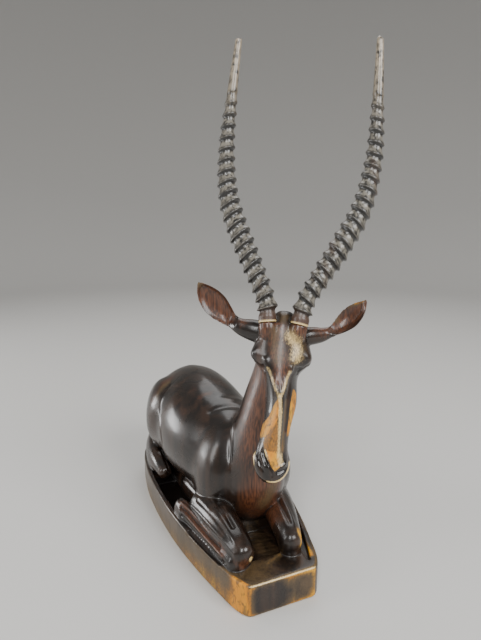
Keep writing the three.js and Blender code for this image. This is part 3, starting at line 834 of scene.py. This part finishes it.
# The plinth: sapwood down the outer sides and at the blunt corners, a pale worn bottom edge, a painted
# highlight along the front top edge, a dark front.
x, y, z = settled.T
facing = facing_of(gazelle)
low = z < plinth_top
outside = np.zeros(len(settled))
outside[low] = ramp(-reach_of(settled[low, :2], closed(plinth_outline(0))), -3.2, -1.6)
outside *= z > 0.2
flank_strength = 0.27 + 0.12 * ramp(-y, 0, 90) + 0.16 * ramp(-z, -20, -4)
right_flank = outside * ramp(-facing[:, 0], 0.25, 0.7) * flank_strength
corner = outside * hump(x + plinth_front_width / 2 + 1, 5) * hump(y - plinth_front - 8, 8)
front_face = outside * ramp(-facing[:, 1], 0.8, 0.95) * (y < plinth_front + plinth_corner)
front_edge = front_face * np.clip(ramp(np.abs(x - 1), 18, 31) + ramp(np.abs(z - 13), 7, 14), 0, 1)
apron = hump(z - plinth_height, 1.5) * ramp(facing[:, 2], 0.7, 0.9) * ramp(-y, 100, 112)
sapwood = right_flank + 0.75 * corner + 0.52 * front_edge
sapwood = sapwood + apron * (0.16 + 0.2 * ramp(-x, -6, 18)) + 0.3 * outside * (x > 0)
paint[:, sap] = np.maximum(paint[:, sap], np.clip(sapwood, 0, 1))
edge_depth = 0.8
# Painted highlight: a pale line along the front top edge; the pale bottom edge is wear.
top_edge_highlight = hump(z - plinth_height + edge_depth, 0.8) * hump(y - plinth_front - 0.7, 1.5)
low_edge = hump(z - edge_depth, 0.9) * outside
paint[:, pale] = np.maximum(paint[:, pale], np.clip(0.75 * top_edge_highlight + 0.6 * low_edge, 0, 1))

# Painted shade fills the deep pits beside the belly.
pit_shade = ramp(-z, -21.5, -15) * (facing[:, 2] > -0.5) * (outside < 0.5) * (y > -14) * (y < 45)
paint[:, painted_shade] = np.maximum(paint[:, painted_shade], pit_shade)
paint_points(gazelle, np.clip(paint, 0, 1))


def add(tree, kind, inputs=None, **settings):
    """Adds a node with these settings, its inputs set to values or linked to other nodes."""
    new = tree.nodes.new("ShaderNode" + kind)
    for name, value in settings.items():
        setattr(new, name, value)
    for name, value in (inputs or {}).items():
        if isinstance(value, bpy.types.NodeSocket):
            tree.links.new(value, new.inputs[name])
        else:
            new.inputs[name].default_value = value
    return new


def mix(tree, factor, first, second):
    """The first colour where the factor is 0, and the second where it is 1."""
    return add(tree, "Mix", {0: factor, 6: first, 7: second}, data_type="RGBA").outputs[2]


def band(tree, value, low, high):
    """From 0 at low to 1 at high, smoothly."""
    return add(tree, "MapRange", {0: value, 1: low, 2: high}, interpolation_type="SMOOTHSTEP").outputs[0]


def sum_of(tree, first, second, weight=1.0):
    """The first value and the second times a weight."""
    return add(tree, "Math", {0: second, 1: weight, 2: first}, operation="MULTIPLY_ADD").outputs[0]


def product(tree, first, second):
    """The first value times the second."""
    return add(tree, "Math", {0: first, 1: second}, operation="MULTIPLY").outputs[0]


def noise(tree, vector, scale, stretch=1.0, detail=3.0, distortion=0.0):
    """Noise drawn out along the grain, which runs up the block."""
    turned = add(tree, "Mapping", {"Vector": vector, "Scale": (scale, scale, scale / stretch)}).outputs[0]
    values = {"Vector": turned, "Scale": 1.0, "Detail": detail, "Distortion": distortion}
    return add(tree, "TexNoise", values).outputs[0]


def new_group(name, *outputs):
    """A node group that gives these values at each place: the group, the place, and where the values go."""
    group = bpy.data.node_groups.new(name, "ShaderNodeTree")
    group.interface.new_socket("Vector", in_out="INPUT", socket_type="NodeSocketVector")
    for output in outputs:
        group.interface.new_socket(output, in_out="OUTPUT", socket_type="NodeSocketFloat")
    begin, end = group.nodes.new("NodeGroupInput"), group.nodes.new("NodeGroupOutput")
    return group, begin.outputs["Vector"], end.inputs


# Grain of the wood: broad figure, fine fibres and open pores.
grain, place, values = new_group("grain", "Figure", "Fibre", "Pores")
grain.links.new(noise(grain, place, 75, 9, 4, 0.8), values["Figure"])
grain.links.new(noise(grain, place, 900, 22, 2, 0.2), values["Fibre"])
grain.links.new(band(grain, noise(grain, place, 1500, 14, 1), 0.6, 0.7), values["Pores"])

# Wear and shade: corners rubbed pale, painted shade in the hollows, both broken up, and broad smears in the
# polish.
wear_and_shade, place, values = new_group("wear_and_shade", "Edge", "Hollow", "Smear")
pointed = add(wear_and_shade, "NewGeometry").outputs["Pointiness"]
patches = noise(wear_and_shade, place, 140, 1, 5)
rubbed = product(wear_and_shade, band(wear_and_shade, pointed, 0.52, 0.6), band(wear_and_shade, patches, 0.35, 0.6))
wear_and_shade.links.new(rubbed, values["Edge"])
# Painted shade in the hollows, where the skin curves inward.
wear_and_shade.links.new(band(wear_and_shade, sum_of(wear_and_shade, pointed, patches, 0.03), 0.505, 0.47), values["Hollow"])
wear_and_shade.links.new(noise(wear_and_shade, place, 22, 1, 4, 1.2), values["Smear"])


def new_material(name):
    """A material, its node tree, its Principled shader, and its object coordinates."""
    material = bpy.data.materials.new(name)
    material.use_nodes = True
    tree = material.node_tree
    return material, tree, tree.nodes["Principled BSDF"], add(tree, "TexCoord").outputs["Object"]


def finish_material(tree, shader, colour, roughness, height, depth):
    """Links the colour and the roughness, and the height as a bump of this depth in metres."""
    tree.links.new(colour, shader.inputs["Base Color"])
    tree.links.new(roughness, shader.inputs["Roughness"])
    bump = add(tree, "Bump", {"Height": height, "Strength": 1.0, "Distance": depth})
    tree.links.new(bump.outputs[0], shader.inputs["Normal"])


# Polished heartwood. The colours run from nearly black through red brown to the gold of the sapwood.
dark_wood, tree, shader, place = new_material("carved_dark_wood")
black_brown, deep_brown = (0.010, 0.0065, 0.0048, 1), (0.034, 0.018, 0.011, 1)
red_brown, dark_red = (0.125, 0.044, 0.018, 1), (0.040, 0.014, 0.007, 1)
orange, gold, stained = (0.62, 0.225, 0.004, 1), (0.68, 0.33, 0.014, 1), (0.100, 0.064, 0.028, 1)
# The last near black is the pores' own dark and also the painted shade in the hollows.
cream, dark_pores_and_shade = (0.74, 0.54, 0.24, 1), (0.006, 0.004, 0.003, 1)
fibres = add(tree, "Group", {"Vector": place}, node_tree=grain).outputs
worn = add(tree, "Group", {"Vector": place}, node_tree=wear_and_shade).outputs
painted = add(tree, "Attribute", attribute_name="paint")
channels = add(tree, "SeparateColor", {0: painted.outputs["Color"]}).outputs
mottle = noise(tree, place, 330, 2.2, 4, 0.6)
fleck = noise(tree, place, 1000, 1.6, 3)
heart = mix(tree, band(tree, fibres["Figure"], 0.4, 0.68), black_brown, deep_brown)
reddish = mix(tree, band(tree, fibres["Fibre"], 0.35, 0.65), dark_red, red_brown)
golden = mix(tree, band(tree, fibres["Figure"], 0.38, 0.62), orange, gold)
golden = mix(tree, product(tree, band(tree, mottle, 0.48, 0.66), 0.75), golden, stained)
broken = sum_of(tree, sum_of(tree, channels[red], fibres["Figure"], 0.5), fibres["Fibre"], 0.25)
colour = mix(tree, band(tree, broken, 0.55, 1.15), heart, reddish)
broken = sum_of(tree, sum_of(tree, channels[sap], mottle, 0.25), fleck, 0.28)
broken = sum_of(tree, broken, fibres["Figure"], 0.22)
colour = mix(tree, product(tree, band(tree, broken, 0.5, 0.85), 0.9), colour, stained)
colour = mix(tree, band(tree, broken, 0.78, 1.15), colour, golden)
# Pale worn wood, and the painted highlights held in the same channel.
broken = sum_of(tree, channels[pale], fleck, 0.55)
colour = mix(tree, band(tree, broken, 0.6, 1.0), colour, cream)
colour = mix(tree, product(tree, worn["Edge"], 0.3), colour, red_brown)
# Painted shade: the hollows and the painted shade channel are darkened to near black; the open pores are the
# wood's own dark.
colour = mix(tree, product(tree, worn["Hollow"], 0.8), colour, dark_pores_and_shade)
colour = mix(tree, product(tree, painted.outputs["Alpha"], 0.9), colour, dark_pores_and_shade)
colour = mix(tree, product(tree, fibres["Pores"], 0.35), colour, dark_pores_and_shade)

# The bare sapwood is dull, and the rest has a thin polish.
bare = band(tree, channels[sap], 0.1, 0.7)
rough = sum_of(tree, sum_of(tree, 0.14, worn["Smear"], 0.26), bare, 0.26)
rough = sum_of(tree, rough, channels[red], 0.12)
rough = sum_of(tree, rough, worn["Hollow"], 0.2)
relief = sum_of(tree, sum_of(tree, mottle, fibres["Fibre"], 0.06), fibres["Pores"], -0.3)
polish = sum_of(tree, 0.25, bare, -0.22)
tree.links.new(polish, shader.inputs["Coat Weight"])
shader.inputs["Coat Roughness"].default_value = 0.14
finish_material(tree, shader, colour, rough, relief, 0.00003)
gazelle.data.materials.append(dark_wood)


# Horns
# Each horn is carved from a separate rod of near-black wood and stands on the flat top of its stump. The
# rings are cut with a file, slanting a little, and the last seventh is left smooth.
ring_count = 22
ringed_share = 0.86
ring_height = 1.5
horn_gap = 0.3
horn_tip = 2.4


def horn(side, name):
    """A horn drawn out along its spine, with a ring at each whole turn and a domed tip."""
    piece, latitude, angle = ball(name, 48, 420)
    trunk = 0.97
    share = np.clip((latitude / trunk + 1) / 2, 0, 1)
    cap = np.clip((np.abs(latitude) - trunk) / (1 - trunk), 0, 1) * np.pi / 2
    fine = spline(horn_spine(side), np.linspace(0, 1, 400))
    run = np.concatenate([[0], np.cumsum(np.linalg.norm(np.diff(fine, axis=0), axis=1))])
    by_length = np.interp(share * run[-1], run, np.linspace(0, 1, 400))
    middle, across, above, along = along_curve(horn_spine(side), by_length, np.array([1.0, 0, 0]))
    taper = np.array([1, 1.02, 1.16, 1.18, 1.04, 0.88, 0.7, 0.53, 2 * horn_tip / horn_foot]) * horn_foot / 2
    radius = spline(taper[:, None], share)[:, 0]

    # A ring is steep towards the foot and slopes off towards the tip, and no two are quite alike.
    turn = share / ringed_share * ring_count
    ring = np.floor(turn)
    crest = (ramp(turn - ring, 0, 0.25) * ramp(ring - turn, -1, -0.2)) ** 1.6
    knobs = 0.09 * (1.2 - share) * (np.sin(3 * angle + 2.1 * ring) + 0.7 * np.sin(5 * angle + 1.3 * ring))
    swell = 1.6 * crest - 0.6
    fade = ramp(-share, -ringed_share, -ringed_share + 0.1) * ramp(share, 0.012, 0.04)
    radius = radius + ring_height * (1 - 0.5 * share) * (swell + knobs) * fade
    slant = 0.26 * ramp(share, 0, 0.08) * radius
    reach = np.where(latitude > 0, np.sin(cap) * horn_tip * 1.2, 0)
    lift = horn_gap * (share == 0) - side * slant * np.cos(angle) + reach
    radius = radius * np.cos(cap)
    points = middle + across * (radius * np.cos(angle))[:, None] + above * (radius * np.sin(angle))[:, None]
    move_points(piece, points + along * lift[:, None], head_place)
    keep_in_box(piece)

    # The paint holds the brown foot, the pale tip, a painted highlight as a bright line at the foot, and
    # painted sheen in the valleys of the rings.
    brown_foot, foot_highlight = ramp(-share, -0.055, -0.025), ramp(-share, -0.009, -0.005)
    pale_tip = ramp(share, 0.72, 0.95)
    valley_sheen = ramp(turn - ring, 0.25, 0.5) * ramp(ring - turn, -0.98, -0.8) * (0.4 + 0.6 * fade)
    paint_points(piece, np.stack([brown_foot, pale_tip, foot_highlight, valley_sheen], axis=1))
    return piece


horn_wood, tree, shader, place = new_material("black_horn_wood")
# Below: a silver grey painted as sheen in the ring valleys, and a near black painted as shade in the hollows.
horn_black, horn_sheen_grey = (0.010, 0.009, 0.008, 1), (0.190, 0.172, 0.140, 1)
horn_brown, horn_shade = (0.060, 0.026, 0.013, 1), (0.005, 0.0045, 0.004, 1)
bone, rubbed_and_sheen_grey = (0.34, 0.28, 0.20, 1), (0.34, 0.30, 0.24, 1)
fibres = add(tree, "Group", {"Vector": place}, node_tree=grain).outputs
worn = add(tree, "Group", {"Vector": place}, node_tree=wear_and_shade).outputs
painted = add(tree, "Attribute", attribute_name="paint")
foot, tip, foot_highlight_line = add(tree, "SeparateColor", {0: painted.outputs["Color"]}).outputs
mottle = noise(tree, place, 420, 1.5, 3, 0.4)
# Painted sheen: the valleys between the rings are painted silver grey.
valley_sheen_patches = product(tree, painted.outputs["Alpha"], band(tree, mottle, 0.3, 0.6))
colour = mix(tree, valley_sheen_patches, horn_black, horn_sheen_grey)
colour = mix(tree, product(tree, band(tree, fibres["Figure"], 0.55, 0.72), 0.4), colour, horn_brown)
colour = mix(tree, product(tree, tip, band(tree, mottle, 0.3, 0.6)), colour, bone)
colour = mix(tree, product(tree, foot, 0.9), colour, horn_brown)
# Painted highlight: a cream line round the horn's foot.
colour = mix(tree, product(tree, foot_highlight_line, 0.9), colour, cream)
# Rubbed edges painted light grey, partly wear and partly painted sheen.
colour = mix(tree, product(tree, worn["Edge"], 0.6), colour, rubbed_and_sheen_grey)
# Painted shade in the hollows of the rings.
colour = mix(tree, product(tree, worn["Hollow"], 0.7), colour, horn_shade)
rough = sum_of(tree, sum_of(tree, 0.12, worn["Smear"], 0.2), mottle, 0.2)
rough = sum_of(tree, rough, foot, 0.25)
rough = sum_of(tree, rough, worn["Hollow"], 0.2)
relief = sum_of(tree, mottle, fibres["Fibre"], 0.08)
shader.inputs["Coat Weight"].default_value = 0.6
shader.inputs["Coat Roughness"].default_value = 0.3
finish_material(tree, shader, colour, rough, relief, 0.00005)
for side, node in ((-1, "horn_right"), (1, "horn_left")):
    piece = horn(side, node + "_carved")
    smooth_shade(piece)
    piece.data.materials.append(horn_wood)
    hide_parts(node)
    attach(piece, "root")


# Floor, lights and camera
# The sculpture stands on a plain pale floor that curves up behind it, in soft light from above and from
# both sides, seen from a little above its right shoulder.
bpy.ops.mesh.primitive_grid_add(x_subdivisions=96, y_subdivisions=96, size=10)
floor = bpy.context.object
floor.name = "floor"
bowl_height, bowl_start, bowl_end = 3200, 1600, 5400
x, y, _ = points_of(floor).T * 1000
bowl = bowl_height * ramp(np.hypot(x, y), bowl_start, bowl_end)
move_points(floor, np.stack([x, y, bowl], axis=1))
bpy.ops.object.shade_smooth()
floor_finish, _, shader, _ = new_material("pale_floor")
shader.inputs["Base Color"].default_value = (0.62, 0.61, 0.59, 1)
shader.inputs["Roughness"].default_value = 0.8
floor.data.materials.append(floor_finish)
floor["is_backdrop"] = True


def area_light(name, place, width, height, power):
    """A rectangular light of this size, turned to the sculpture's middle."""
    data = bpy.data.lights.new(name, "AREA")
    data.shape, data.size, data.size_y, data.energy = "RECTANGLE", width, height, power
    light = bpy.data.objects.new(name, data)
    light.location = place
    light.rotation_euler = (Vector((0, 0, 0.15)) - light.location).to_track_quat("-Z", "Y").to_euler()
    bpy.context.scene.collection.objects.link(light)


area_light("overhead", (0.4, 0.6, 1.3), 0.9, 0.9, 6)
area_light("left_window", (-1.15, 0.1, 0.55), 0.3, 0.6, 4)
area_light("low_left", (-0.9, 0.75, 0.15), 0.3, 0.4, 5)
area_light("front_left", (-0.6, -1.0, 1.05), 0.25, 0.9, 12)
area_light("front", (0.5, -1.2, 1.0), 0.8, 0.8, 19)
world = bpy.data.worlds.new("studio")
world.use_nodes = True
world.node_tree.nodes["Background"].inputs["Color"].default_value = (0.86, 0.85, 0.83, 1)
world.node_tree.nodes["Background"].inputs["Strength"].default_value = 0.4
bpy.context.scene.world = world

photo_width, photo_height = 481, 640
sensor = 36
looking = Vector((0.3743, 0.9037, -0.2079))
camera_data = bpy.data.cameras.new("camera")
camera_data.sensor_width = sensor
camera_data.lens = sensor * photo_width / photo_height
camera_data.clip_start = 0.01
camera = bpy.data.objects.new("camera", camera_data)
camera.location = (-0.1431, -0.3954, 0.277)
camera.rotation_euler = looking.to_track_quat("-Z", "Y").to_euler()
bpy.context.scene.collection.objects.link(camera)
bpy.context.scene.camera = camera

low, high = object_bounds()
